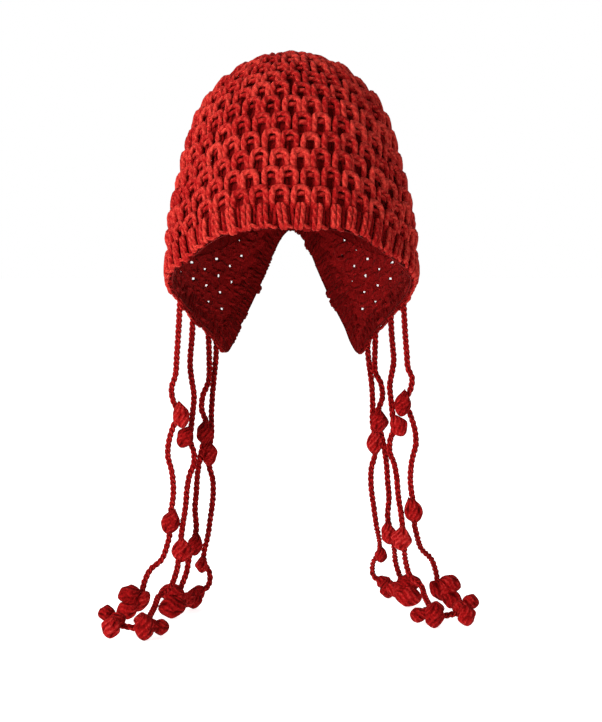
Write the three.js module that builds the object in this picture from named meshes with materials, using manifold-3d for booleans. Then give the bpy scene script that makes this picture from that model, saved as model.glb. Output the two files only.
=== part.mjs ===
import * as THREE from "three";
import { mergeVertices } from "three/addons/utils/BufferGeometryUtils.js";
import Module from "manifold-3d";

// Earflap beanie, in millimetres. The origin is the seat on the head: the inside top of the crown.
// The brow faces -Y and up is +Z. Left is the side at -X, as seen from in front of the brow.

const WALL = 7;
const GAP = 0.3;
const BROW_DROP = 127;
const HALF_WIDTH = 91;
const DEPTH_PER_WIDTH = 1.05;
const EDGING_WIDTH = 16;
const RIB_COUNT = 60;
const RIB_RISE = 1.3;
const RIB_SINK = -0.9;
const RIB_SCALLOP = 1.1;
const STATIONS_PER_RIB = 3;
const FAN = 0.06;
const FAN_SAMPLES = 6;
const CORD_RADIUS = 2.4;
const CORD_SIDES = 8;
const CORD_STEP = 18;
const CORD_LET_IN = 3;
const LEAF_THICKNESS = 8;
const LEAF_SIDES = 6;
const BUD_DEPTH = 10;
const BUD_SIDES = 6;

// The right side's cords hang a little higher and lie further back. The rise comes in between two depths,
// and both changes pass into each other between the level of the lying ends and that of the free run.
const RIGHT_RISE = 8.6;
const RIGHT_BACK = 40;
const RISE_FROM = 205;
const RISE_FULL = 245;
const LYING = -392;
const HANGING = -350;

const CROWN_TURNS = [
  0, 7.5, 15, 22.5, 30, 37.5, 45, 52.5, 60, 67, 74, 81, 88, 95, 102, 109,
  116, 123, 130, 137, 144, 150, 155.5, 160, 163.5, 167, 170.5, 174, 177, 180,
];
const CROWN_ROWS = 9;
const FLAP_COLUMNS = 10;
const FLAP_ROWS = 4;
const FLAP_TIP_TRIM = 6;
const FLAP_LEAST = 2;
const FLAP_BEHIND = 0.25;
const SURFACE_STEPS = 400;
const RIM_STEPS = 720;
const SLOPE_STEP = 0.5;
const SLOPE_MOST = 2;
const SAME_POINT = 1e-4;
const FULL_TURN = 2 * Math.PI;
const DEGREE = FULL_TURN / 360;
const MM_PER_RADIAN = HALF_WIDTH * (1 + DEPTH_PER_WIDTH) / 2;
const FULL_ARC = FULL_TURN * MM_PER_RADIAN;
const HALF_ARC = FULL_ARC / 2;

const table = (columns, rows) => rows.map((row) => (
  Object.fromEntries(columns.map((name, i) => [name, row[i]]))
));

// Side outline of the crown: depth as a share of the brow's drop, half-width as a share of the widest.
const FORM = table(["down", "out"], [
  [0, 0], [0.024, 0.198], [0.055, 0.33], [0.09, 0.418], [0.157, 0.538],
  [0.228, 0.637], [0.362, 0.758], [0.496, 0.824], [0.669, 0.884], [0.843, 0.946],
  [0.976, 0.978], [1.11, 0.992], [1.244, 1.0], [1.346, 0.99], [1.496, 0.955],
  [1.69, 0.89], [1.9, 0.8],
]);

// Outer edge of the edging: degrees round from the brow, depth as a share of the brow's drop.
const RIM = table(["turn", "down"], [
  [0, 0.996], [11, 1.0], [25, 1.012], [33, 1.04], [41, 1.078], [49.6, 1.134],
  [58, 1.176], [68, 1.214], [82, 1.275], [100, 1.368], [114, 1.457], [123, 1.528],
  [132, 1.61], [138, 1.69], [144, 1.645], [150, 1.567], [157, 1.464], [162.5, 1.354],
  [166.5, 1.252], [170.5, 1.134], [175.8, 1.02], [180, 0.985],
]);

// Where a flap is worked onto the crown: degrees from the brow, depth as a share of the brow's drop.
const FLAP_JOIN = table(["turn", "down"], [
  [0, 1.2], [50, 1.1], [66, 1.075], [90, 1.125], [115, 1.15], [135, 1.12],
  [150, 1.05], [160, 0.985], [170, 0.91], [180, 0.87],
]);

// The edging's section: share of its width up from the edge, level in the wall as a share of it,
// and how much of the rib relief the point takes.
const EDGING = table(["up", "level", "relief"], [
  [1, -0.1, 0], [0.78, 0, 1], [0.16, 0, 1], [0, -0.5, 0],
  [0.16, -1, -1], [0.78, -1, -1], [1, -0.9, 0],
]);

// A leaf or bud from its stem end to its tip: share of its length, share of its half-width.
const BULGE = table(["along", "out"], [[0.08, 0.5], [0.3, 0.93], [0.62, 0.97], [0.9, 0.52]]);

// Routes of the cords at -X, exit first. The other side repeats them.
const CORDS = [
  [
    [-82, 25.5, -171.2], [-83, 28, -186], [-85, 31, -212], [-86, 31, -226], [-89, 31, -236],
    [-88, 31, -245], [-84, 31, -255], [-88, 31, -265], [-91, 31, -275], [-92, 31, -286],
    [-89, 31, -299], [-88, 31, -313], [-89, 31, -323], [-91, 31, -334], [-91, 31, -345],
    [-93, 31, -354], [-97, 30, -364], [-105, 28, -371], [-109, 24, -379], [-111, 18, -388],
  ],
  [
    [-73.5, 41.9, -181.6], [-74.3, 43, -196], [-76, 43, -219], [-75, 42, -229], [-73, 41, -243],
    [-74, 40, -255], [-75, 39, -265], [-76, 38, -275], [-73, 37, -285], [-73, 36, -293],
    [-76, 34, -301], [-78, 32, -312], [-79, 30, -325], [-81, 27, -338], [-82, 23, -348],
    [-83, 17, -360], [-85, 11, -371], [-89, 3, -380], [-96, -7, -384], [-98, -20, -389],
    [-100, -31, -392.5], [-101, -38, -394.5],
  ],
  [
    [-63.3, 53.5, -192.5], [-62.5, 55, -208], [-63, 55, -233], [-67, 54, -243], [-68, 53, -254],
    [-65, 52, -263], [-66, 51, -275], [-69, 50, -289], [-71, 49, -302], [-72, 48, -316],
    [-73, 47, -329], [-72, 46, -343], [-74, 45, -353], [-77, 42, -363], [-79, 38, -375],
    [-84, 31, -388],
  ],
  [
    [-56.8, 58.1, -200.6], [-57.5, 59.5, -215], [-60, 59, -241], [-61, 58, -258], [-61, 57, -274],
    [-63, 56, -285], [-63, 56, -296], [-60, 56, -308], [-60, 56, -322], [-62, 57, -337],
    [-64, 58, -351], [-67, 60, -364], [-67, 62, -372], [-63, 64, -381], [-64, 63, -390],
    [-71, 60, -395],
  ],
];

// Leaf buds: cord, place, size across and along, lean to the side in degrees.
const LEAVES = table(["cord", "name", "x", "y", "z", "wide", "long", "lean"], [
  [1, "upper", -82, 26.5, -255, 11.5, 19, 12], [1, "lower", -90, 26.5, -334.5, 11.5, 19, -8],
  [2, "upper", -78.5, 33.5, -272, 12, 18, 10], [2, "lower", -81, 17.5, -354, 12.5, 18, 0],
  [3, "upper", -65.5, 47, -270, 12, 18, 0], [3, "lower", -73, 40, -354, 11.5, 18, 0],
  [4, "upper", -62, 51.5, -288, 12.5, 20, 0], [4, "lower", -68.5, 55.5, -372, 9, 13, 0],
]);

// Buds in bunches at the cords' ends: bunch, place, size across and along, lean to the side in degrees.
const BUDS = table(["bunch", "x", "y", "z", "wide", "long", "lean"], [
  [1, -119.6, 12, -386.3, 9.5, 13, 70], [1, -120.7, 8, -397.3, 10, 13, 60], [1, -112, 15, -392.5, 9, 15, 45],
  [1, -117, 11.5, -392, 8, 10, 0],
  [2, -102.8, -52, -397, 12.5, 17, 0], [2, -91.9, -42, -399, 10, 11, 80], [2, -104.6, -41, -394.3, 9, 12, 90],
  [2, -99.5, -45.5, -397, 9, 13, 90],
  [3, -89.4, 26, -388, 10, 15, 90], [3, -88.5, 21, -397.8, 12, 16.5, 80], [3, -84.6, 27, -394, 11, 13, 0],
  [4, -80, 48, -398, 9.5, 13, 60], [4, -72.3, 62, -395.5, 9, 12, 50], [4, -75, 55, -398.5, 11, 13, 0],
  [5, -130.5, -38, -390, 10, 11.5, 80], [5, -126.1, -50, -397.5, 12, 14.5, 10],
  [5, -122.7, -42, -394, 10, 12, 70],
]);

// The last bunch lies beside another one and is tied to it by a short stub of cord.
const STUB = { bunch: 5, to: 2, from: [-122, -44, -397], end: [-103, -49, -399.5] };

const COLOUR = {
  crown: 0xbf2020, flap: 0xb01c1c, edging: 0xc42424, cord: 0xb51e1e, leaf: 0xbb2020, bud: 0xb21c1c,
};
const ROUGHNESS = 0.95;

const wasm = await Module();
wasm.setup();

const lerp = (a, b, share) => a + (b - a) * share;

// Looks a value up on a polyline of {key, value} pairs sorted by key.
const lookUp = (line, key) => {
  let i = 1;
  while (i < line.length - 1 && line[i].key < key) i += 1;
  const a = line[i - 1];
  const b = line[i];
  const share = b.key === a.key ? 0 : (key - a.key) / (b.key - a.key);
  return lerp(a.value, b.value, Math.min(Math.max(share, 0), 1));
};

const smooth = (points, steps) => {
  const places = points.map(([a, b]) => new THREE.Vector3(a, b, 0));
  const curve = new THREE.CatmullRomCurve3(places, false, "centripetal");
  curve.arcLengthDivisions = steps;
  return curve.getSpacedPoints(steps);
};

const outline = smooth(FORM.map((row) => [row.out * HALF_WIDTH, row.down * BROW_DROP]), SURFACE_STEPS);
const radiusLine = outline.map((p) => ({ key: p.y, value: p.x }));
const lengthLine = [];
outline.reduce((run, p, i) => {
  const next = i === 0 ? 0 : run + p.distanceTo(outline[i - 1]);
  lengthLine.push({ key: p.y, value: next });
  return next;
}, 0);
const depthLine = lengthLine.map((row) => ({ key: row.value, value: row.key }));
const radiusAt = (depth) => lookUp(radiusLine, depth);

// Place on the hat: angle round from the brow toward +X, depth under the top, level out of the surface.
const onHat = (angle, depth, level) => {
  const radius = radiusAt(depth);
  const low = Math.max(depth - SLOPE_STEP, 0);
  const widening = (radiusAt(depth + SLOPE_STEP) - radiusAt(low)) / (depth + SLOPE_STEP - low);
  const steep = Math.min(widening, SLOPE_MOST);
  const out = new THREE.Vector3(
    DEPTH_PER_WIDTH * Math.sin(angle),
    -Math.cos(angle),
    steep * DEPTH_PER_WIDTH,
  ).normalize();
  if (radius === 0) out.set(0, 0, 1);
  const place = new THREE.Vector3(
    radius * Math.sin(angle),
    -radius * DEPTH_PER_WIDTH * Math.cos(angle),
    WALL - depth,
  );
  return place.addScaledVector(out, level);
};

const onSheet = (point, level) => onHat(point.x / MM_PER_RADIAN, point.y, level);

// The rim as a closed line on the unrolled hat: x is the arc from the brow, y the depth.
const halfRim = RIM.map((row) => [row.turn * DEGREE * MM_PER_RADIAN, row.down * BROW_DROP]);
const mirrored = halfRim.slice(1, -1).reverse().map(([x, y]) => [FULL_ARC - x, y]);
const rimLoop = smooth([...halfRim, ...mirrored, [FULL_ARC, halfRim[0][1]]], RIM_STEPS);

const rimPoint = (share) => {
  const turns = Math.floor(share);
  const place = (share - turns) * RIM_STEPS;
  const i = Math.floor(place);
  const point = rimLoop[i].clone().lerp(rimLoop[Math.min(i + 1, RIM_STEPS)], place - i);
  point.x += turns * FULL_ARC;
  return point;
};

// Direction up into the cloth from the rim, averaged so that the ribs fan round a flap's tip.
const rimInward = (share) => {
  const sum = new THREE.Vector3();
  for (let i = -FAN_SAMPLES; i <= FAN_SAMPLES; i += 1) {
    const at = share + FAN * i / FAN_SAMPLES;
    const along = rimPoint(at + FAN / 2).sub(rimPoint(at - FAN / 2)).normalize();
    sum.add(new THREE.Vector3(along.y, -along.x, 0));
  }
  return sum.normalize();
};

const rimOffset = (share, distance) => rimPoint(share).addScaledVector(rimInward(share), distance);

// Joins rings of equal count into a closed body; ends are capped to a point or as a strip.
const loft = (rings, ends) => {
  const count = rings[0].length;
  const points = rings.flat();
  const faces = [];
  const last = ends.closed ? rings.length : rings.length - 1;
  for (let r = 0; r < last; r += 1) {
    const a = r * count;
    const b = ((r + 1) % rings.length) * count;
    for (let k = 0; k < count; k += 1) {
      const next = (k + 1) % count;
      faces.push(a + k, a + next, b + next, a + k, b + next, b + k);
    }
  }
  const capTo = (start, point, forward) => {
    points.push(point);
    const tip = points.length - 1;
    for (let k = 0; k < count; k += 1) {
      const next = (k + 1) % count;
      faces.push(...(forward ? [start + k, start + next, tip] : [start + next, start + k, tip]));
    }
  };
  const capStrip = (start, forward) => {
    for (let k = 0; k < count / 2 - 1; k += 1) {
      const quad = [start + k, start + k + 1, start + count - 2 - k, start + count - 1 - k];
      const [p, q, s, t] = forward ? quad : [quad[0], quad[3], quad[2], quad[1]];
      faces.push(p, q, s, p, s, t);
    }
  };
  const end = (rings.length - 1) * count;
  if (ends.tips) {
    capTo(0, ends.tips[0], false);
    capTo(end, ends.tips[1], true);
  }
  if (ends.strips) {
    capStrip(0, false);
    capStrip(end, true);
  }
  const geometry = new THREE.BufferGeometry();
  geometry.setAttribute("position", new THREE.Float32BufferAttribute(points.flatMap((p) => p.toArray()), 3));
  geometry.setIndex(faces);
  return volumeOf(geometry) < 0 ? turnedOut(geometry) : geometry;
};

const volumeOf = (geometry) => {
  const at = geometry.getAttribute("position");
  const order = geometry.getIndex().array;
  const corner = (i) => new THREE.Vector3().fromBufferAttribute(at, order[i]);
  let sum = 0;
  for (let i = 0; i < order.length; i += 3) {
    sum += corner(i).dot(corner(i + 1).cross(corner(i + 2)));
  }
  return sum;
};

const turnedOut = (geometry) => {
  const order = geometry.getIndex().array;
  for (let i = 0; i < order.length; i += 3) {
    [order[i + 1], order[i + 2]] = [order[i + 2], order[i + 1]];
  }
  return geometry;
};

const toManifold = (geometry) => {
  const bare = new THREE.BufferGeometry();
  bare.setAttribute("position", geometry.getAttribute("position"));
  if (geometry.getIndex()) bare.setIndex(geometry.getIndex());
  const merged = mergeVertices(bare, SAME_POINT);
  return new wasm.Manifold(new wasm.Mesh({
    numProp: 3,
    vertProperties: new Float32Array(merged.getAttribute("position").array),
    triVerts: new Uint32Array(merged.getIndex().array),
  }));
};

// Keeps the main body of a cut piece, without the crumbs.
const fromManifold = (solid) => {
  const whole = solid.decompose().reduce((best, next) => (next.volume() > best.volume() ? next : best));
  const mesh = whole.getMesh();
  const geometry = new THREE.BufferGeometry();
  geometry.setAttribute("position", new THREE.BufferAttribute(new Float32Array(mesh.vertProperties), 3));
  geometry.setIndex(new THREE.BufferAttribute(new Uint32Array(mesh.triVerts), 1));
  return geometry;
};

// The edging with its ribs, all round the opening. Grow makes it bigger, for cutting what meets it.
const edging = (grow) => {
  const rings = [];
  const stations = RIB_COUNT * STATIONS_PER_RIB;
  for (let i = 0; i < stations; i += 1) {
    const share = i / stations;
    const crest = i % STATIONS_PER_RIB > 0;
    const foot = rimPoint(share);
    const inward = rimInward(share);
    rings.push(EDGING.map((row) => {
      const scallop = row.up === 0 && !crest ? RIB_SCALLOP : 0;
      const up = row.up * EDGING_WIDTH + scallop - (row.up === 0 ? grow : 0);
      const relief = row.relief * ((crest ? RIB_RISE : RIB_SINK) + grow);
      return onSheet(foot.clone().addScaledVector(inward, up), row.level * WALL + relief);
    }));
  }
  return loft(rings, { closed: true });
};

const joinPoints = FLAP_JOIN.map((row) => [row.turn * DEGREE * MM_PER_RADIAN, row.down * BROW_DROP]);
const joinLine = smooth(joinPoints, RIM_STEPS).map((p) => ({ key: p.x, value: p.y }));
const joinDepth = (arc) => lookUp(joinLine, arc);

// The edging's inner line with a small gap, from the brow's middle round to the nape's middle.
const clearLine = Array.from({ length: RIM_STEPS / 2 + 1 }, (_, i) => (
  rimOffset(i / RIM_STEPS, EDGING_WIDTH + GAP)
));
clearLine[0].x = 0;
clearLine.at(-1).x = HALF_ARC;

// Depth of the crown's lower edge at an arc from the brow: the edging's inner line or the flap's join.
const crownFoot = (arc) => {
  let least = joinDepth(arc);
  for (let i = 1; i < clearLine.length; i += 1) {
    const [a, b] = [clearLine[i - 1], clearLine[i]];
    if ((a.x - arc) * (b.x - arc) <= 0 && a.x !== b.x) {
      least = Math.min(least, lerp(a.y, b.y, (arc - a.x) / (b.x - a.x)));
    }
  }
  return least;
};

// Where the join leaves the edging's inner line, at the front and at the back of a flap.
const isUnderJoin = (p) => p.y > joinDepth(p.x);
const isBehind = (p) => p.x > HALF_ARC * FLAP_BEHIND;
const joinEnds = clearLine
  .filter((p, i) => i > 0 && isBehind(p) && isUnderJoin(p) !== isUnderJoin(clearLine[i - 1]))
  .map((p) => p.x);

const crownArcs = CROWN_TURNS.map((turn) => turn * DEGREE * MM_PER_RADIAN);
for (const end of joinEnds) {
  const offs = crownArcs.map((arc) => Math.abs(arc - end));
  crownArcs[offs.indexOf(Math.min(...offs))] = end;
}

const crown = () => {
  const back = crownArcs.slice(1, -1).reverse();
  const columns = [...crownArcs.map((arc) => [arc, 1]), ...back.map((arc) => [arc, -1])];
  const ring = (share, level) => columns.map(([arc, side]) => {
    const depth = lookUp(depthLine, lookUp(lengthLine, crownFoot(arc)) * share);
    return onHat(side * arc / MM_PER_RADIAN, depth, level);
  });
  const shares = Array.from({ length: CROWN_ROWS }, (_, i) => (i + 1) / CROWN_ROWS);
  const rings = [
    ...shares.map((share) => ring(share, 0)),
    ...shares.map((share) => ring(share, -WALL)).reverse(),
  ];
  return loft(rings, { tips: [onHat(0, 0, 0), onHat(0, 0, -WALL)] });
};

// One flap, between its join to the crown and the edging round it.
const earflap = (mirror) => {
  const low = clearLine.filter((p) => isBehind(p) && p.y > joinDepth(p.x) + GAP + FLAP_LEAST);
  const tip = low.reduce((best, p) => (p.y > best.y ? p : best));
  const sides = [low.filter((p) => p.x < tip.x), low.filter((p) => p.x > tip.x)]
    .map((part) => part.filter((p) => p.y < tip.y - FLAP_TIP_TRIM));
  const lower = sides.flatMap((points) => (
    new THREE.CatmullRomCurve3(points, false, "centripetal").getSpacedPoints(FLAP_COLUMNS)
  ));
  const [start, end] = [lower[0].x, lower.at(-1).x];
  const rings = lower.map((foot, i) => {
    const arc = lerp(start, end, i / (lower.length - 1));
    const head = new THREE.Vector3(arc, crownFoot(arc) + GAP, 0);
    const rows = Array.from({ length: FLAP_ROWS + 1 }, (_, k) => head.clone().lerp(foot, k / FLAP_ROWS));
    return [
      ...rows.map((p) => onSheet(p, 0)),
      ...rows.map((p) => onSheet(p, -WALL)).reverse(),
    ].map((p) => p.setX(p.x * mirror));
  });
  return loft(rings, { strips: true });
};

// A point of the left list, or its place on the other side.
const carried = ([x, y, z], side) => {
  if (side === "left") return new THREE.Vector3(x, y, z);
  const hang = THREE.MathUtils.smoothstep(z, LYING, HANGING);
  const lower = THREE.MathUtils.smoothstep(-z, RISE_FROM, RISE_FULL);
  return new THREE.Vector3(-x, y + RIGHT_BACK * (1 - hang), z + RIGHT_RISE * hang * lower);
};

const tube = (points, radius) => {
  const curve = new THREE.CatmullRomCurve3(points, false, "centripetal");
  const round = Array.from({ length: CORD_SIDES }, (_, i) => {
    const angle = FULL_TURN * i / CORD_SIDES;
    return new THREE.Vector2(radius * Math.cos(angle), radius * Math.sin(angle));
  });
  const steps = Math.max(1, Math.round(curve.getLength() / CORD_STEP));
  return toManifold(new THREE.ExtrudeGeometry(new THREE.Shape(round), { steps, extrudePath: curve }));
};

// The first point is raised into the edging, which the cord is then cut back to.
const cordRoute = (index, side) => {
  const route = CORDS[index - 1].map((point) => carried(point, side));
  route[0].z += CORD_LET_IN;
  return route;
};

// A leaf or bud: rings along its length, leaned to the side.
const bulge = (centre, wide, deep, long, lean, sides) => {
  const tilt = new THREE.Matrix4().makeRotationY(lean * DEGREE);
  const put = (x, y, z) => new THREE.Vector3(x, y, z).applyMatrix4(tilt).add(centre);
  const rings = BULGE.map((row) => Array.from({ length: sides }, (_, i) => {
    const angle = FULL_TURN * i / sides;
    return put(
      row.out * wide / 2 * Math.cos(angle),
      row.out * deep / 2 * Math.sin(angle),
      (0.5 - row.along) * long,
    );
  }));
  return toManifold(loft(rings, { tips: [put(0, 0, long / 2), put(0, 0, -long / 2)] }));
};

const bunch = (number, side, grow) => BUDS.filter((row) => row.bunch === number).map((row) => bulge(
  carried([row.x, row.y, row.z], side),
  row.wide + grow,
  BUD_DEPTH + grow,
  row.long + grow,
  side === "left" ? row.lean : -row.lean,
  BUD_SIDES,
)).reduce((sum, next) => sum.add(next));

const root = new THREE.Group();
root.name = "earflap_beanie";

const addNode = (name, geometry, colour) => {
  const flat = geometry.getIndex() ? geometry.toNonIndexed() : geometry;
  flat.computeVertexNormals();
  const material = new THREE.MeshStandardMaterial({ color: colour, roughness: ROUGHNESS, metalness: 0 });
  const mesh = new THREE.Mesh(flat, material);
  mesh.name = name;
  root.add(mesh);
};

addNode("crown", crown(), COLOUR.crown);
addNode("ribbed_edge", edging(0), COLOUR.edging);

const edgingCutter = toManifold(edging(GAP));

for (const side of ["left", "right"]) {
  const flap = toManifold(earflap(side === "left" ? -1 : 1)).subtract(edgingCutter);
  addNode(`earflap_${side}`, fromManifold(flap), COLOUR.flap);
  const cordCutter = CORDS
    .map((_, i) => tube(cordRoute(i + 1, side), CORD_RADIUS + GAP))
    .reduce((sum, next) => sum.add(next));
  CORDS.forEach((_, i) => {
    const body = tube(cordRoute(i + 1, side), CORD_RADIUS).subtract(edgingCutter);
    addNode(`cord_${side}_${i + 1}`, fromManifold(body), COLOUR.cord);
  });
  for (const leaf of LEAVES) {
    const centre = carried([leaf.x, leaf.y, leaf.z], side);
    const lean = side === "left" ? leaf.lean : -leaf.lean;
    const body = bulge(centre, leaf.wide, LEAF_THICKNESS, leaf.long, lean, LEAF_SIDES);
    addNode(`leaf_${side}_${leaf.cord}_${leaf.name}`, fromManifold(body.subtract(cordCutter)), COLOUR.leaf);
  }
  for (let number = 1; number <= STUB.bunch; number += 1) {
    let body = bunch(number, side, 0);
    if (number === STUB.bunch) {
      const ends = [STUB.from, STUB.end].map((point) => carried(point, side));
      body = body.add(tube(ends, CORD_RADIUS)).subtract(bunch(STUB.to, side, 2 * GAP));
    }
    addNode(`bud_${side}_${number}`, fromManifold(body.subtract(cordCutter)), COLOUR.bud);
  }
}

export default root;
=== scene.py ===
import bpy
import math
import numpy as np
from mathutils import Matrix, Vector


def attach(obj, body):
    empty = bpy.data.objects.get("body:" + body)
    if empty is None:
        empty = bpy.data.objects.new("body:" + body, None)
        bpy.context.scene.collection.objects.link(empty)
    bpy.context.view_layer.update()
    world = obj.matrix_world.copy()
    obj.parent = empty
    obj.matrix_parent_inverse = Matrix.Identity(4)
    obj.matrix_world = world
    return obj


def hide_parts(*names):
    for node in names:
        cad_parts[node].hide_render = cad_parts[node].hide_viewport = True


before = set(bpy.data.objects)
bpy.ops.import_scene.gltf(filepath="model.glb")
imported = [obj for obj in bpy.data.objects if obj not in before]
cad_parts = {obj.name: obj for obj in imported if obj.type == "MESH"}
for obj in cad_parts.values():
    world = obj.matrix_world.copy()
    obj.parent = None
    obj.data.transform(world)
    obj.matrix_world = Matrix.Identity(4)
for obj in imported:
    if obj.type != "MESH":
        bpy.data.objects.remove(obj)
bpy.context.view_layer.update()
print("frame loaded:", len(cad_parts), "nodes")

mm = 0.001
tiny = 1e-12
rng = np.random.default_rng(11)

# The camera stands a little over a metre in front of the brow and looks slightly down. Place in millimetres.
cameraSet = dict(
    place=(6.8, -1250.0, -134.0), pitch=3.66, focalPixels=1736.0,
    imageWidth=602, imageHeight=722, sensor=36.0, clipEnd=50.0,
)


def makeCamera(s):
    # lens: the sensor's width times the focal length over the picture's width, both in pixels
    data = bpy.data.cameras.new("camera")
    data.sensor_fit = "HORIZONTAL"
    data.sensor_width = s["sensor"]
    data.lens = s["sensor"] * s["focalPixels"] / s["imageWidth"]
    data.clip_end = s["clipEnd"]
    cam = bpy.data.objects.new("camera", data)
    cam.location = [c * mm for c in s["place"]]
    cam.rotation_euler = (math.radians(90 - s["pitch"]), 0, 0)
    bpy.context.scene.collection.objects.link(cam)
    bpy.context.scene.camera = cam


makeCamera(cameraSet)
print("camera set")

# The hat's form in millimetres, as the part's source has it. Only the rim near the flaps' tips hangs lower
# here, as the photo shows it.
hat = dict(
    wall=7.0, browDrop=127.0, halfWidth=91.0, depthPerWidth=1.05, edging=16.0, ribs=60, gap=0.3,
    # a rib's direction is the mean over this share of the rim on each side, read at so many places
    fan=0.06, fanSamples=13,
    # steps of the smoothed outline and rim, and the step and the most of the outline's slope
    outlineSteps=400, rimSteps=720, slopeStep=0.5, slopeMost=2.0,
    # depth as a share of the brow's drop, half-width as a share of the widest
    form=[
        (0, 0), (0.024, 0.198), (0.055, 0.33), (0.09, 0.418), (0.157, 0.538),
        (0.228, 0.637), (0.362, 0.758), (0.496, 0.824), (0.669, 0.884), (0.843, 0.946),
        (0.976, 0.978), (1.11, 0.992), (1.244, 1.0), (1.346, 0.99), (1.496, 0.955),
        (1.69, 0.89), (1.9, 0.8),
    ],
    # degrees round from the brow, depth of the edge as a share of the brow's drop
    rim=[
        (0, 0.996), (11, 1.0), (25, 1.012), (33, 1.04), (41, 1.078), (49.6, 1.134),
        (58, 1.176), (68, 1.214), (82, 1.275), (100, 1.38), (114, 1.48), (123, 1.56),
        (132, 1.645), (138, 1.735), (144, 1.685), (150, 1.585), (157, 1.47), (162.5, 1.354),
        (166.5, 1.252), (170.5, 1.134), (175.8, 1.02), (180, 0.985),
    ],
    # the same for the line where a flap is worked onto the crown
    join=[
        (0, 1.2), (50, 1.1), (66, 1.075), (90, 1.125), (115, 1.15), (135, 1.12),
        (150, 1.05), (160, 0.985), (170, 0.91), (180, 0.87),
    ],
)
mmPerRadian = hat["halfWidth"] * (1 + hat["depthPerWidth"]) / 2
meanPerWidth = mmPerRadian / hat["halfWidth"]

# steps between two points of a smoothed line, and the least distance of its knots
curveSteps, leastKnot = 24, 1e-6


def smoothLine(points, steps):
    # Catmull-Rom curve through the points, knots at the square root of their distances, read at even lengths
    p = np.asarray(points, float)
    e = np.vstack([2 * p[0] - p[1], p, 2 * p[-1] - p[-2]])
    d = np.maximum(np.linalg.norm(np.diff(e, axis=0), axis=1) ** 0.5, leastKnot)[:, None]
    d0, d1, d2 = d[:-2], d[1:-1], d[2:]
    p0, p1, p2, p3 = e[:-3], e[1:-2], e[2:-1], e[3:]
    t1 = ((p1 - p0) / d0 - (p2 - p0) / (d0 + d1) + (p2 - p1) / d1) * d1
    t2 = ((p2 - p1) / d1 - (p3 - p1) / (d1 + d2) + (p3 - p2) / d2) * d1
    s = np.linspace(0, 1, curveSteps + 1)[None, :, None]
    h = ((2 * s**3 - 3 * s**2 + 1) * p1[:, None] + (s**3 - 2 * s**2 + s) * t1[:, None]
         + (3 * s**2 - 2 * s**3) * p2[:, None] + (s**3 - s**2) * t2[:, None])
    line = np.vstack([h[:, :-1].reshape(-1, p.shape[1]), p[-1:]])
    run = np.r_[0, np.cumsum(np.linalg.norm(np.diff(line, axis=0), axis=1))]
    even = np.linspace(0, run[-1], steps + 1)
    return np.stack([np.interp(even, run, line[:, c]) for c in range(p.shape[1])], axis=1)


formPoints = [(o * hat["halfWidth"], d * hat["browDrop"]) for d, o in hat["form"]]
outline = smoothLine(formPoints, hat["outlineSteps"])
outlineRun = np.r_[0, np.cumsum(np.linalg.norm(np.diff(outline, axis=0), axis=1))]


def radiusAt(depth):
    # the outline's half-width at a depth
    return np.interp(depth, outline[:, 1], outline[:, 0])


def runAt(depth):
    # length down the outline to a depth
    return np.interp(depth, outline[:, 1], outlineRun)


def depthAt(run):
    # the depth at a length down the outline
    return np.interp(run, outlineRun, outline[:, 1])


def onHat(angle, depth, level):
    # ellipse of the outline's radius at that depth, pushed out along the surface's normal by the level
    step = hat["slopeStep"]
    low = np.maximum(depth - step, 0)
    r = radiusAt(depth)
    steep = np.minimum((radiusAt(depth + step) - radiusAt(low)) / (depth + step - low), hat["slopeMost"])
    k = hat["depthPerWidth"]
    out = np.stack([k * np.sin(angle), -np.cos(angle), steep * k + 0 * angle], axis=-1)
    out /= np.linalg.norm(out, axis=-1, keepdims=True)
    place = np.stack([r * np.sin(angle), -r * k * np.cos(angle), hat["wall"] - depth + 0 * angle], axis=-1)
    return place + out * np.asarray(level)[..., None]


def onSheet(flat, level):
    # the same for a spot of the unrolled cloth: length round the hat and depth
    return onHat(flat[..., 0] / mmPerRadian, flat[..., 1], level)


def arcAt(degrees):
    # length round the hat from the brow's middle
    return math.radians(degrees) * mmPerRadian


fullArc = 2 * math.pi * mmPerRadian
halfArc = fullArc / 2
rimSteps = hat["rimSteps"]
halfRim = [(arcAt(t), d * hat["browDrop"]) for t, d in hat["rim"]]
farRim = [(fullArc - x, y) for x, y in halfRim[1:-1][::-1]]
rimLoop = smoothLine(halfRim + farRim + [(fullArc, halfRim[0][1])], rimSteps)
rimLength = np.linalg.norm(np.diff(rimLoop, axis=0), axis=1).sum()


def rimPoint(share):
    # the spot of the cloth at a share of the rim's length, counted on past a full turn
    turns = np.floor(share)
    at, known = (share - turns) * rimSteps, np.arange(rimSteps + 1)
    x = np.interp(at, known, rimLoop[:, 0]) + turns * fullArc
    return np.stack([x, np.interp(at, known, rimLoop[:, 1])], axis=-1)


def rimInward(share):
    # mean of the rim's normals over a stretch on both sides, so that the ribs fan round a tip
    at = np.asarray(share)[..., None] + hat["fan"] * np.linspace(-1, 1, hat["fanSamples"])
    along = rimPoint(at + hat["fan"] / 2) - rimPoint(at - hat["fan"] / 2)
    along /= np.linalg.norm(along, axis=-1, keepdims=True)
    n = np.stack([along[..., 1], -along[..., 0]], axis=-1).sum(axis=-2)
    return n / np.linalg.norm(n, axis=-1, keepdims=True)


def rimOffset(share, up):
    # a spot of the rim moved into the cloth along that mean normal
    return rimPoint(share) + rimInward(share) * np.asarray(up)[..., None]


halfShares = np.linspace(0, 0.5, rimSteps // 2 + 1)
joinLine = smoothLine([(arcAt(t), d * hat["browDrop"]) for t, d in hat["join"]], rimSteps)
clearLine = rimOffset(halfShares, np.full(len(halfShares), hat["edging"] + hat["gap"]))


def folded(arc):
    # distance from the brow's middle, the same on both sides
    a = np.mod(arc, fullArc)
    return np.where(a > halfArc, fullArc - a, a)


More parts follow.
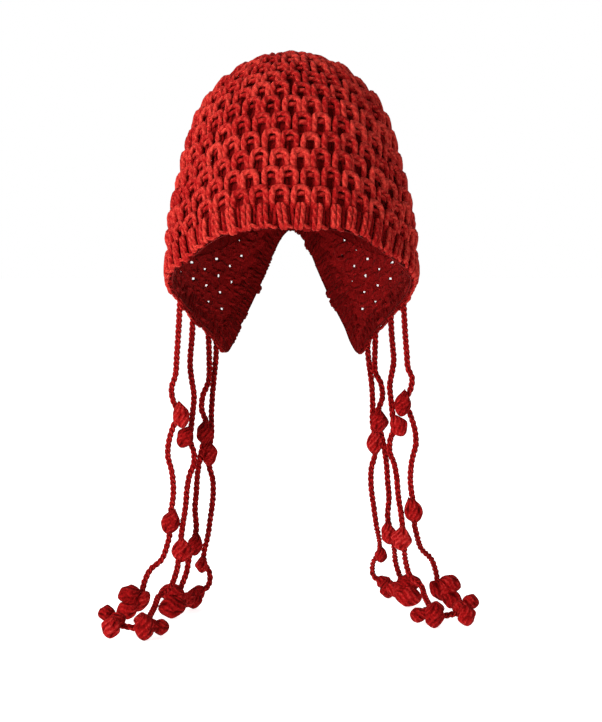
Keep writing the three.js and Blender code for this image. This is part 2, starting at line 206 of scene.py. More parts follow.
def joinDepth(arc):
    # depth of the line where a flap is worked onto the crown
    return np.interp(folded(arc), joinLine[:, 0], joinLine[:, 1])


def clearDepth(arc):
    # depth of the line just above the edging
    return np.interp(folded(arc), clearLine[:, 0], clearLine[:, 1])


def crownFoot(arc):
    # the crown ends at whichever of the two lines is higher
    return np.minimum(joinDepth(arc), clearDepth(arc))


print("form worked out, rim", round(rimLength), "mm round")


# Yarn: corners round a tube, thickness of its open ends as a share, unevenness of its surface

tubeSet = dict(sides=6, ends=0.55, wobble=0.055)
sheetTone = 0.5


def endCaps(sides, rings):
    # strips of quads that shut the first and the last ring of an open tube
    j = np.arange(sides // 2 - 1)
    cap = np.stack([j, j + 1, sides - 2 - j, sides - 1 - j], axis=-1)
    return np.vstack([cap[:, ::-1], cap + (rings - 1) * sides])


def yarnTubes(paths, normals, radius, level=0.0, closed=False):
    # a circle carried along each path: centre + radius (cos a * normal + sin a * binormal)
    sides = tubeSet["sides"]
    t = np.roll(paths, -1, 1) - np.roll(paths, 1, 1) if closed else np.gradient(paths, axis=1)
    t /= np.linalg.norm(t, axis=2, keepdims=True) + tiny
    b = np.cross(t, normals)
    b /= np.linalg.norm(b, axis=2, keepdims=True) + tiny
    n = np.cross(b, t)
    count, length = paths.shape[:2]
    a = np.arange(sides) * 2 * math.pi / sides
    taper = np.ones(length)
    if not closed:
        taper[0] = taper[-1] = tubeSet["ends"]
    r = np.broadcast_to(np.asarray(radius, float), (count, length)) * taper
    ring = np.cos(a)[:, None] * n[:, :, None] + np.sin(a)[:, None] * b[:, :, None]
    ring = ring * (1 + rng.normal(0, tubeSet["wobble"], ring.shape[:3]))[..., None]
    verts = paths[:, :, None] + r[:, :, None, None] * ring
    rings = length if closed else length - 1
    i, k = np.meshgrid(np.arange(rings), np.arange(sides), indexing="ij")
    i2, k2 = (i + 1) % length, (k + 1) % sides
    quad = np.stack([i * sides + k, i * sides + k2, i2 * sides + k2, i2 * sides + k], axis=-1).reshape(-1, 4)
    step = np.linalg.norm(np.roll(paths, -1, 1) - paths, axis=2)
    run = np.concatenate([np.zeros((count, 1)), np.cumsum(step, axis=1)], axis=1)
    u0, u1 = run[:, i], run[:, i + 1]
    v0, v1 = np.broadcast_to(k / sides, u0.shape), np.broadcast_to((k + 1) / sides, u0.shape)
    corners = [(u0, v0), (u0, v1), (u1, v1), (u1, v0)]
    uv = np.stack([np.stack(c, -1) for c in corners], -2).reshape(count, -1, 4, 2)
    if not closed:
        quad = np.vstack([quad, endCaps(sides, length)])
        uv = np.concatenate([uv, np.zeros((count, sides - 2, 4, 2))], axis=1)
    offset = np.arange(count)[:, None, None] * (length * sides)
    faces = (quad[None] + offset).reshape(-1, 4)
    tone = np.repeat(rng.random(count), length * sides)
    # each corner's level, which the yarn material reads to paint shade into the deeper corners
    height = np.broadcast_to(np.asarray(level, float), (count, length))[:, :, None]
    height = height + r[:, :, None] * np.cos(a)
    return verts.reshape(-1, 3), faces, uv.reshape(-1, 2), tone, height.ravel()


def makePiece(name, parts, material, nodes=()):
    # joins parts of (corners, quads, uv, tone, level) into one mesh in metres
    starts = np.cumsum([0] + [len(p[0]) for p in parts[:-1]])
    verts = np.vstack([p[0] for p in parts]) * mm
    faces = np.vstack([p[1] + s for p, s in zip(parts, starts)]).astype(np.int32)
    uv = np.vstack([p[2] for p in parts])
    tone = np.concatenate([p[3] for p in parts])
    mesh = bpy.data.meshes.new(name)
    mesh.vertices.add(len(verts))
    mesh.vertices.foreach_set("co", verts.astype(np.float32).ravel())
    mesh.loops.add(faces.size)
    mesh.loops.foreach_set("vertex_index", faces.ravel())
    mesh.polygons.add(len(faces))
    mesh.polygons.foreach_set("loop_start", np.arange(0, faces.size, 4, dtype=np.int32))
    mesh.polygons.foreach_set("use_smooth", np.ones(len(faces), bool))
    mesh.update(calc_edges=True)
    mesh.uv_layers.new(name="yarn").data.foreach_set("uv", uv.astype(np.float32).ravel())
    mesh.attributes.new("tone", "FLOAT", "POINT").data.foreach_set("value", tone.astype(np.float32))
    # the level attribute drives the materials' painted shade
    height = np.concatenate([p[4] for p in parts])
    mesh.attributes.new("level", "FLOAT", "POINT").data.foreach_set("value", height.astype(np.float32))
    mesh.materials.append(material)
    mesh.validate()
    piece = bpy.data.objects.new(name, mesh)
    bpy.context.scene.collection.objects.link(piece)
    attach(piece, "root")
    if nodes:
        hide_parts(*nodes)
    print(name, "made,", 2 * len(faces), "triangles")
    return piece


# Materials

def makeYarnMaterial(name, s):
    # colour: three reds picked by the sum of the strand's tone, the ply's wave, fibres, clouds and a lift,
    # times a painted shade that darkens strands the deeper they lie; bump: ply wave and fibres
    mat = bpy.data.materials.new(name)
    mat.use_nodes = True
    nodes, links = mat.node_tree.nodes, mat.node_tree.links
    shader = nodes["Principled BSDF"]
    shader.inputs["Roughness"].default_value = s["roughness"]
    shader.inputs["Sheen Weight"].default_value = s["sheen"]
    shader.inputs["Sheen Roughness"].default_value = s["sheenRoughness"]
    shader.inputs["Sheen Tint"].default_value = (*s["sheenTint"], 1)
    shader.inputs["Specular IOR Level"].default_value = s["specular"]

    def mathNode(operation, *values):
        # one operation on numbers and on other nodes' results
        node = nodes.new("ShaderNodeMath")
        node.operation = operation
        for socket, value in zip(node.inputs, values):
            if isinstance(value, (int, float)):
                socket.default_value = value
            else:
                links.new(value, socket)
        return node.outputs[0]

    uvNode = nodes.new("ShaderNodeUVMap")
    uvNode.uv_map = "yarn"
    split = nodes.new("ShaderNodeSeparateXYZ")
    links.new(uvNode.outputs["UV"], split.inputs[0])
    turns = mathNode("MULTIPLY", split.outputs["X"], 1 / s["twistPitch"])
    around = mathNode("MULTIPLY", split.outputs["Y"], s["plies"])
    phase = mathNode("MULTIPLY", mathNode("ADD", turns, around), 2 * math.pi)
    wave = mathNode("MULTIPLY_ADD", mathNode("SINE", phase), 0.5, 0.5)

    coord = nodes.new("ShaderNodeTexCoord")
    fuzz = nodes.new("ShaderNodeTexNoise")
    fuzz.inputs["Scale"].default_value = s["fuzzScale"]
    fuzz.inputs["Detail"].default_value = s["fuzzDetail"]
    links.new(coord.outputs["Object"], fuzz.inputs["Vector"])
    cloud = nodes.new("ShaderNodeTexNoise")
    cloud.inputs["Scale"].default_value = s["cloudScale"]
    links.new(coord.outputs["Object"], cloud.inputs["Vector"])

    tone = nodes.new("ShaderNodeAttribute")
    tone.attribute_name = "tone"
    mixIn = mathNode("MULTIPLY", tone.outputs["Fac"], s["toneShare"])
    for source, share in ((wave, s["waveShare"]), (fuzz.outputs["Fac"], s["fuzzShare"]),
                          (cloud.outputs["Fac"], s["cloudShare"])):
        mixIn = mathNode("ADD", mixIn, mathNode("MULTIPLY", source, share))
    mixIn = mathNode("ADD", mixIn, s["lift"])
    # painted shade: the colour darkens with how deep each corner lies, standing in for the shade in the
    # recesses
    level = nodes.new("ShaderNodeAttribute")
    level.attribute_name = "level"
    paintedShade = nodes.new("ShaderNodeMapRange")
    paintedShade.interpolation_type = "SMOOTHSTEP"
    paintedShade.inputs["From Min"].default_value = s["paintedShadeLevels"][0]
    paintedShade.inputs["From Max"].default_value = s["paintedShadeLevels"][1]
    paintedShade.inputs["To Min"].default_value = s["paintedShadeFactor"]
    links.new(level.outputs["Fac"], paintedShade.inputs["Value"])
    ramp = nodes.new("ShaderNodeValToRGB")
    stops = ramp.color_ramp.elements
    stops.new(s["stops"][1])
    for stop, place, colour in zip(stops, s["stops"], (s["deep"], s["mid"], s["light"])):
        stop.position = place
        stop.color = (*colour, 1)
    links.new(mathNode("MULTIPLY", mixIn, paintedShade.outputs["Result"]), ramp.inputs["Fac"])
    links.new(ramp.outputs["Color"], shader.inputs["Base Color"])

    height = mathNode("ADD", mathNode("MULTIPLY", wave, s["bumpWave"]),
                      mathNode("MULTIPLY", fuzz.outputs["Fac"], s["bumpFuzz"]))
    bump = nodes.new("ShaderNodeBump")
    bump.inputs["Strength"].default_value = s["bump"]
    bump.inputs["Distance"].default_value = s["bumpDistance"]
    links.new(height, bump.inputs["Height"])
    links.new(bump.outputs["Normal"], shader.inputs["Normal"])
    return mat


yarnLook = dict(
    deep=(0.10, 0.0006, 0.0008), mid=(0.275, 0.0045, 0.005), light=(0.60, 0.05, 0.034),
    stops=(0.15, 0.5, 0.9),
    roughness=0.9, sheen=0.06, sheenRoughness=0.45, sheenTint=(1.0, 0.22, 0.16), specular=0.06,
    # length of a turn of the twist in millimetres, plies, scale of the fibres and of the clouds
    twistPitch=6.0, plies=2, fuzzScale=700.0, fuzzDetail=3.0, cloudScale=18.0,
    toneShare=0.2, waveShare=0.16, fuzzShare=0.78, cloudShare=0.2, lift=-0.05,
    bump=1.0, bumpDistance=0.0011, bumpWave=0.65, bumpFuzz=0.7,
    # levels between which the painted shade goes from darkest to none, and the share of the colour it keeps
    # where darkest
    paintedShadeLevels=(-5.4, -0.7), paintedShadeFactor=0.30,
)
knitMaterial = makeYarnMaterial("red_knit_yarn", yarnLook)
# the flaps' yarn: a darker deepest red and a weaker painted shade, so that the flaps' insides come out
# lighter
flapMaterial = makeYarnMaterial("red_flap_yarn", dict(yarnLook, deep=(0.085, 0.0005, 0.0007), paintedShadeFactor=0.5))
# the cords' yarn: darker, with a strong painted shade in the plait's grooves
cordMaterial = makeYarnMaterial("red_cord_yarn", dict(
    yarnLook, deep=(0.065, 0.0004, 0.0005), light=(0.60, 0.046, 0.041), sheen=0.02, specular=0.03,
    twistPitch=4.0, paintedShadeLevels=(-1.7, -0.3), paintedShadeFactor=0.1, lift=-0.21))
print("materials made")


# Crown

crownSet = dict(
    # rows of cells, a cell's size, the fewest in a row, and how far down a row its length is read
    rows=12, cellWidth=14.4, rowHeight=12.55, leastCells=5, midRow=0.55,
    # thickness of the arches' yarn and of the others as a share of it, and points along each
    strand=2.2, samples=16, underShare=0.85, underSamples=6, backShare=0.8, backSamples=10,
    # arch over each hole: share of half a cell across, share of a row down, level
    arch=[
        (-0.52, 1.26, -6.0), (-0.62, 1.08, -4.9), (-0.69, 0.88, -3.6), (-0.71, 0.60, -2.3),
        (-0.70, 0.36, -1.3), (-0.62, 0.17, -1.0), (-0.36, 0.06, -1.5), (0.0, 0.03, -2.0),
        (0.36, 0.06, -1.5), (0.62, 0.17, -1.0), (0.70, 0.36, -1.3), (0.71, 0.60, -2.3),
        (0.69, 0.88, -3.6), (0.62, 1.08, -4.9), (0.52, 1.26, -6.0),
    ],
    # an arch thins by this share at its top, less towards this share of half a cell
    thin=0.16, thinWithin=0.6,
    # unevenness of a strand's place (across, down, level), slant and thickness, and of the cells' angles; no
    # strand comes nearer the top than the last share
    jitter=(0.05, 0.05, 0.3), skew=0.07, uneven=0.06, turnJitter=0.03, topMost=0.004,
    # deeper strand across the top of each hole
    under=[
        (-0.95, 0.44, -4.4), (-0.5, 0.36, -3.6), (0.0, 0.33, -3.4), (0.5, 0.36, -3.6), (0.95, 0.44, -4.4),
    ],
    # loop on the inside, behind the post
    back=[
        (-0.6, 1.2, -4.4), (-0.5, 0.95, -5.1), (-0.55, 0.6, -5.6), (-0.48, 0.25, -5.3), (0.0, 0.02, -4.7),
        (0.48, 0.25, -5.3), (0.55, 0.6, -5.6), (0.5, 0.95, -5.1), (0.6, 1.2, -4.4),
    ],
    # sheet of inner yarn that closes the holes, set so deep that the painted shade makes it darkest: levels,
    # size of its grid, its start, depth of its dimples
    sheet=(-6.7, -5.3), sheetColumns=200, sheetRows=72, sheetTop=0.012, dimple=0.45,
)
# like measure for a table's columns: half cells across, rows down, millimetres of level
tableScale = np.array([1, 2, 1 / 6])
rowRun = float(runAt(crownFoot(np.array([0.0])))[0])


def tableLine(line, samples):
    # the table's points smoothed in like measure and read at even lengths
    return smoothLine(np.array(line) * tableScale, samples - 1) / tableScale


def rowDepth(angle, v):
    # length down the outline: the brow's share plus the sides' extra length, which comes in early
    extra = runAt(crownFoot(angle * mmPerRadian)) - rowRun
    return depthAt(v * rowRun + extra * (1 - (1 - np.clip(v, 0, 1)) ** 2))


def crownCells(s):
    # row number, angle and width of each cell: as many to a row as its length holds, every other row set off
    # by half a cell
    mids = depthAt((np.arange(s["rows"]) + s["midRow"]) / s["rows"] * rowRun)
    counts = np.round(2 * math.pi * radiusAt(mids) * meanPerWidth / s["cellWidth"]).astype(int)
    counts = np.maximum(counts, s["leastCells"])
    row = np.repeat(np.arange(s["rows"]), counts)
    cell = np.concatenate([np.arange(c) for c in counts])
    angle = 2 * math.pi * (cell + 0.5 * (row % 2) + rng.normal(0, s["turnJitter"], len(row))) / counts[row]
    return row, angle, 2 * math.pi / counts[row]


def crownStrands(s, line, cells, radius, samples, thin=0.0):
    # the table's line set in each cell of the crown's rows, a little unevenly
    row, angle, width = cells
    path = tableLine(line, samples)
    jit = rng.normal(0, 1, (len(row), 1, 3)) * np.array(s["jitter"])
    skew = rng.normal(0, s["skew"], (len(row), 1))
    down = (row[:, None] + path[:, 1] + jit[:, :, 1]) / s["rows"]
    across = (path[:, 0] + jit[:, :, 0] + skew * (path[:, 1] - 0.5)) * width[:, None] / 2
    a = angle[:, None] + across
    d = rowDepth(a, np.maximum(down, s["topMost"]))
    level = path[:, 2] + jit[:, :, 2]
    paths = onHat(a, d, level)
    normals = onHat(a, d, level + 1) - paths
    fat = radius * (1 + rng.normal(0, s["uneven"], (len(row), 1)))
    fat = fat * (1 - thin * np.clip(1 - np.abs(path[:, 0]) / s["thinWithin"], 0, 1))
    return yarnTubes(paths, normals, fat, level)


def closedSheet(grid, levels, place):
    # two layers of a grid of (columns, rows), wrapped round and shut along the first and last row
    columns, rows = grid.shape[:2]
    level = np.stack([each + 0 * grid[..., 0] for each in levels])
    verts = np.stack([place(grid, each) for each in level])
    i, k = np.meshgrid(np.arange(columns), np.arange(rows - 1), indexing="ij")
    i2 = (i + 1) % columns
    top = columns * rows
    outer = np.stack([i * rows + k, i * rows + k + 1, i2 * rows + k + 1, i2 * rows + k], -1).reshape(-1, 4)
    c = np.arange(columns)
    c2 = (c + 1) % columns
    rims = []
    for r, flip in ((0, False), (rows - 1, True)):
        q = np.stack([c * rows + r, c2 * rows + r, top + c2 * rows + r, top + c * rows + r], -1)
        rims.append(q[:, ::-1] if flip else q)
    faces = np.vstack([outer[:, ::-1], outer + top] + rims)
    uv = np.zeros((faces.size, 2))
    return verts.reshape(-1, 3), faces, uv, np.full(2 * top, sheetTone), level.ravel()


def crownSheet(s):
    # grid of turn and share of the crown's depth; both layers swell in soft dimples the size of the stitches
    turn = np.linspace(0, 2 * math.pi, s["sheetColumns"], endpoint=False)[:, None]
    share = np.linspace(s["sheetTop"], 1.0, s["sheetRows"])[None]
    depth = rowDepth(turn + 0 * share, share + 0 * turn)
    arc = turn * radiusAt(depth)
    swell = np.sin(share * s["rows"] * 2 * math.pi) * np.cos(2 * math.pi * arc / s["cellWidth"])
    levels = [level + s["dimple"] * swell for level in s["sheet"]]
    grid = np.stack([turn + 0 * share, depth], -1)
    return closedSheet(grid, levels, lambda g, level: onHat(g[..., 0], g[..., 1], level))


def makeCrown(s):
    # an arch over each hole, a deeper strand across it, loops on the inside half a cell on, and the sheet
    row, angle, width = crownCells(s)
    cells, between = (row, angle, width), (row, angle + width / 2, width)
    arches = crownStrands(s, s["arch"], cells, s["strand"], s["samples"], s["thin"])
    unders = crownStrands(s, s["under"], cells, s["strand"] * s["underShare"], s["underSamples"])
    backs = crownStrands(s, s["back"], between, s["strand"] * s["backShare"], s["backSamples"])
    makePiece("crown_stitches", [arches], knitMaterial, ["crown"])
    makePiece("crown_inside", [unders, backs, crownSheet(s)], knitMaterial)


makeCrown(crownSet)


# Earflaps

flapSet = dict(
    # the rows' direction on the cloth (round, down), their start in degrees and share of the brow's drop, how
    # many cells they reach, and the first angle and the depths between which a flap lies
    rowTurn=-0.51, rowFall=0.86, origin=(172.0, 1.0), reach=14, firstRow=-2,
    fromTurn=60.0, depths=(105.0, 215.0), margin=2.0,
    strand=1.9, jitter=0.3, backSamples=12, backShift=1.0, backWide=1.2,
    # pinholes: a slanting lattice as seen from the front, in pixels of the view, and their half-width
    holeStart=(241.4, 256.0), holeSteps=((-11.6, 9.8), (13.4, 6.7)), hole=1.15,
    # strands led round them: step that the cloth's slope is read over, its least spread, the farthest move
    readStep=0.5, leastSpread=0.12, mostMove=5.0,
    # cloth behind the stitches, set deep so that the painted shade darkens it: levels, size of its cells,
    # reach under the edging, height of its bumps
    sheet=(-6.2, -4.9), sheetCell=(1.2, 0.8), sheetMargin=7.0, bumps=0.5,
)


def seen(points):
    # where the camera sees each point, in pixels: across and down
    c = cameraSet
    pitch = math.radians(c["pitch"])
    v = points - np.array(c["place"])
    deep = v[..., 1] * math.cos(pitch) - v[..., 2] * math.sin(pitch)
    up = v[..., 1] * math.sin(pitch) + v[..., 2] * math.cos(pitch)
    across = c["imageWidth"] / 2 + c["focalPixels"] * v[..., 0] / deep
    return np.stack([across, c["imageHeight"] / 2 - c["focalPixels"] * up / deep], -1)


def toPinhole(spot, s):
    # from each spot of the view to the nearest point of the pinholes' lattice
    steps = np.array(s["holeSteps"]).T
    rel = spot - np.array(s["holeStart"])
    return np.round(rel @ np.linalg.inv(steps).T) @ steps.T - rel


def roundPinholes(flat, level, radius, s):
    # strands pass a pinhole on the side they are on: moved along the cloth, square to their run as seen
    spot = seen(onSheet(flat, level))
    step = s["readStep"]
    acrossCloth = (seen(onSheet(flat + [step, 0], level)) - spot) / step
    downCloth = (seen(onSheet(flat + [0, step], level)) - spot) / step
    t = np.gradient(spot, axis=1)
    t /= np.linalg.norm(t, axis=-1, keepdims=True) + tiny
    n = np.stack([-t[..., 1], t[..., 0]], -1)
    gap = toPinhole(spot, s)
    along, off = (gap * t).sum(-1), (gap * n).sum(-1)
    pixels = cameraSet["focalPixels"] / -cameraSet["place"][1]
    clear = radius * pixels + s["hole"]
    need = np.sqrt(np.maximum(clear**2 - along**2, 0))
    push = -np.where(off >= 0, 1.0, -1.0) * np.maximum(need - np.abs(off), 0)
    move = n * push[..., None]
    spread = acrossCloth[..., 0] * downCloth[..., 1] - acrossCloth[..., 1] * downCloth[..., 0]
    spread = np.where(np.abs(spread) < s["leastSpread"], s["leastSpread"], spread)
    arcMove = (move[..., 0] * downCloth[..., 1] - move[..., 1] * downCloth[..., 0]) / spread
    depthMove = (acrossCloth[..., 0] * move[..., 1] - acrossCloth[..., 1] * move[..., 0]) / spread
    return flat + np.clip(np.stack([arcMove, depthMove], -1), -s["mostMove"], s["mostMove"])


def maskedSheet(flat, keep, levels, place):
    # two layers of a grid, only where keep is set, with walls round every edge of what is kept
    columns, rows = flat.shape[:2]
    top = columns * rows
    number = np.arange(top).reshape(columns, rows)
    verts = np.concatenate([place(flat, level) for level in levels])
    a, b, c, d = number[:-1, :-1], number[:-1, 1:], number[1:, 1:], number[1:, :-1]
    layer = np.stack([a, b, c, d], -1)
    wide = np.pad(keep, 1)
    faces = [layer[keep][:, ::-1], layer[keep] + top]
    for (p, q), beside in (((a, b), wide[:-2, 1:-1]), ((b, c), wide[1:-1, 2:]),
                           ((c, d), wide[2:, 1:-1]), ((d, a), wide[1:-1, :-2])):
        edge = keep & ~beside
        faces.append(np.stack([p, q, q + top, p + top], -1)[edge])
    used, packed = np.unique(np.vstack(faces), return_inverse=True)
    faces = packed.reshape(-1, 4)
    level = np.stack(levels).ravel()[used]
    return verts.reshape(-1, 3)[used], faces, np.zeros((faces.size, 2)), np.full(len(used), sheetTone), level


def flapSheet(s):
    # closed cloth behind the stitches, open only at the pinholes
    cell = s["sheetCell"]
    arc = np.arange(arcAt(s["fromTurn"]), halfArc, cell[0])
    depth = np.arange(*s["depths"], cell[1])
    flat = np.stack(np.meshgrid(arc, depth, indexing="ij"), -1)
    middle = (flat[:-1, :-1] + flat[1:, 1:]) / 2
    keep = (middle[..., 1] > joinDepth(middle[..., 0]) - s["margin"])
    keep &= middle[..., 1] < clearDepth(middle[..., 0]) + s["sheetMargin"]
    for level in s["sheet"]:
        mirrored = middle * np.array([-1, 1])
        keep &= np.linalg.norm(toPinhole(seen(onSheet(mirrored, level)), s), axis=-1) > s["hole"]
    u = flat @ np.array([s["rowTurn"], s["rowFall"]]) / crownSet["cellWidth"]
    w = flat @ np.array([-s["rowFall"], s["rowTurn"]]) / crownSet["rowHeight"]
    bumps = s["bumps"] * np.cos(2 * math.pi * u) * np.cos(2 * math.pi * w)
    return flat, keep, [level + bumps for level in s["sheet"]]


def flapCells(s):
    # a lattice whose rows run down beside the rear edge, kept where it lies between the join and the edging
    u = np.array([s["rowTurn"], s["rowFall"]])
    u /= np.linalg.norm(u)
    w = np.array([-u[1], u[0]])
    start = np.array([arcAt(s["origin"][0]), s["origin"][1] * hat["browDrop"]])
    cells, rows = np.arange(-s["reach"], s["reach"]), np.arange(s["firstRow"], s["reach"])
    i, j = np.meshgrid(cells, rows, indexing="ij")
    i, j = i.ravel(), j.ravel()
    middle = start + u * ((i + 0.5 * (j % 2)) * crownSet["cellWidth"])[:, None]
    middle = middle + w * ((j + 0.5) * crownSet["rowHeight"])[:, None]
    arc, depth = middle[:, 0], middle[:, 1]
    keep = (depth > joinDepth(arc) - s["margin"]) & (depth < clearDepth(arc) + s["margin"])
    keep &= (arc > arcAt(s["fromTurn"])) & (arc < halfArc)
    return middle[keep] + rng.normal(0, s["jitter"], (keep.sum(), 2)), u, w


def flapStrands(s, line, side, cells, radius, samples, shift=0.0, wide=1.0):
    # the crown's tables laid on the flap's lattice, led round the pinholes
    middle, u, w = cells
    path = tableLine(line, samples)
    jit = rng.normal(0, s["jitter"], (len(middle), 1))
    half = crownSet["cellWidth"] / 2
    flat = middle[:, None] + u * ((path[:, 0:1] * wide + shift) * half)
    flat = flat + w * ((path[:, 1:2] - 0.5) * crownSet["rowHeight"])
    level = path[:, 2] + jit
    flat = roundPinholes(flat * np.array([-1, 1]), level, radius, s) * np.array([-side, 1])
    paths = onSheet(flat, level)
    normals = onSheet(flat, level + 1) - paths
    return yarnTubes(paths, normals, radius, level)


def makeFlap(s, name, side):
    # the crown's stitches on the flap's lattice, over the cloth; the side is -1 at -X and 1 at +X
    cells = flapCells(s)
    c = crownSet
    parts = [
        flapStrands(s, c["arch"], side, cells, s["strand"], c["samples"]),
        flapStrands(s, c["under"], side, cells, s["strand"] * c["underShare"], c["underSamples"]),
        flapStrands(s, c["back"], side, cells, s["strand"], s["backSamples"], s["backShift"], s["backWide"]),
        maskedSheet(*flapSheet(s), lambda flat, level: onSheet(flat * np.array([side, 1]), level)),
    ]
    makePiece("earflap_knit_" + name, parts, flapMaterial, ["earflap_" + name])


makeFlap(flapSet, "left", -1)
makeFlap(flapSet, "right", 1)


# Ribbed edging

edgingSet = dict(
    # two strands to a rib, this far from its middle and nipped together at its ends
    strand=1.75, spread=1.75, nip=0.55, nipPower=5, samples=18, foot=(1.0, 1.9), head=16.6,
    # powers that square the ribs' section along and through the wall
    tallPower=0.5, thickPower=0.6,
    # unevenness of the ribs' places, lean, lower ends and levels, and slow waves of the lower ends
    turnJitter=0.04, lean=0.6, reach=0.7, wave=1.0, waves=13, levelJitter=0.2,
    # level of each rib's outer and inner side: the raised ribs, then the ones between them
    levels=[(-0.9, -4.6), (-4.5, -5.5)],
    # slanting strand on the edge between two raised ribs: share of the pitch, height, level
    slant=[(-0.40, 4.2, -1.8), (-0.28, 2.8, -1.4), (-0.12, 1.7, -1.8), (0.06, 1.1, -2.8), (0.2, 1.4, -4.0)],
    slantStrand=1.3, slantSamples=12, slantJitter=0.3,
    # band that closes the ribs between their sides, set deep so that the painted shade darkens it: levels,
    # columns, lowest and highest distance from the edge, rows
    band=(-5.8, -4.7), bandColumns=480, bandUp=(0.5, 21.5), bandRows=8,
)


def edgingSheet(s):
    # closed band between the ribs' two sides, from near the edge to the top of the ribs
    share = np.linspace(0, 1, s["bandColumns"], endpoint=False)[:, None]
    up = np.linspace(s["bandUp"][1], s["bandUp"][0], s["bandRows"])[None]
    grid = rimOffset(share + 0 * up, up + 0 * share)
    return closedSheet(grid, s["band"], onSheet)


def atTips(middle):
    # the rib nearest each flap's tip moves onto it
    low = rimLoop[:rimSteps // 2, 1].argmax() / rimSteps
    for tip in (low, 1 - low):
        middle[np.abs(middle - tip).argmin()] = tip
    return middle


def makeEdging(s):
    # ribs: pairs of rings round the edging's section, raised outside, with pairs between them raised inside
    parts = []
    t = np.arange(s["samples"]) * 2 * math.pi / s["samples"]
    tall = np.sign(np.cos(t)) * np.abs(np.cos(t)) ** s["tallPower"]
    thick = np.sign(np.sin(t)) * np.abs(np.sin(t)) ** s["thickPower"]
    nip = s["nip"] * np.abs(np.cos(t[None])) ** s["nipPower"]
    count = hat["ribs"]
    for layer, (outer, inner) in enumerate(s["levels"]):
        middle = (np.arange(count) + 0.5 + 0.5 * layer + rng.normal(0, s["turnJitter"], count)) / count
        middle = atTips(middle) if layer == 0 else middle
        lean = rng.normal(0, s["lean"], (count, 1))
        slow = s["wave"] * np.sin(middle[:, None] * 2 * math.pi * s["waves"])
        reach = rng.normal(0, s["reach"], (count, 1)) + slow
        half = (s["head"] - s["foot"][layer]) / 2
        up = s["foot"][layer] + half + half * tall[None] - reach * (tall[None] < 0)
        for side in (-1, 1):
            across = side * (s["spread"] - nip) + lean * tall
            jit = rng.normal(0, s["levelJitter"], (count, 1))
            level = (outer + inner) / 2 + (outer - inner) / 2 * thick[None] + jit
            flat = rimOffset(middle[:, None] + across / rimLength, up)
            paths = onSheet(flat, level)
            normals = onSheet(flat, level + 1) - paths
            parts.append(yarnTubes(paths, normals, s["strand"], level, closed=True))
    line = smoothLine(s["slant"], s["slantSamples"] - 1)
    share = (np.arange(count)[:, None] + line[None, :, 0]) / count
    up = line[None, :, 1] + rng.normal(0, s["slantJitter"], (count, 1))
    level = line[None, :, 2] + 0 * share
    flat = rimOffset(share, up)
    paths = onSheet(flat, level)
    parts.append(yarnTubes(paths, onSheet(flat, level + 1) - paths, s["slantStrand"], level))
    parts.append(edgingSheet(s))
    makePiece("ribbed_edging", parts, knitMaterial, ["ribbed_edge"])


makeEdging(edgingSet)


# Leaves and buds

podSet = dict(
    rows=26, around=40, ends=0.004, lowest=-406.4, leafPuff=1.06,
    # how far each bunch's buds swell past the sizes in the table
    puff={1: 1.34, 2: 1.12, 3: 1.3, 4: 1.2, 5: 1.1},
    # powers of the half-width: a leaf's low middle, its round end and its pointed end, a bud's two ends
    lowMiddle=1.2, roundEnd=0.95, pointedBy=0.45, budEnds=0.55,
    # strands side by side: how many, depth and sharpness of the grooves, ranges of their twist and start
    strands=8, groove=0.10, grooveFrom=0.75, grooveSharp=0.6, twist=(0.8, 1.6), phases=(0, 6),
    # lumps: height, waves along and round, share of the second ones, how fast they come in from the ends
    lump=0.085, lumpWaves=((7, 2), (-5, 3), (11, 3)), lumpSecond=0.6, lumpEase=5,
    # levels that the painted shade reads for the deepest and the highest parts, and what the strands and the
    # lumps add of that
    shade=(-1.9, 0.1), shadeStrand=0.5, shadeLump=0.25, lumpDeepest=1.6,
)


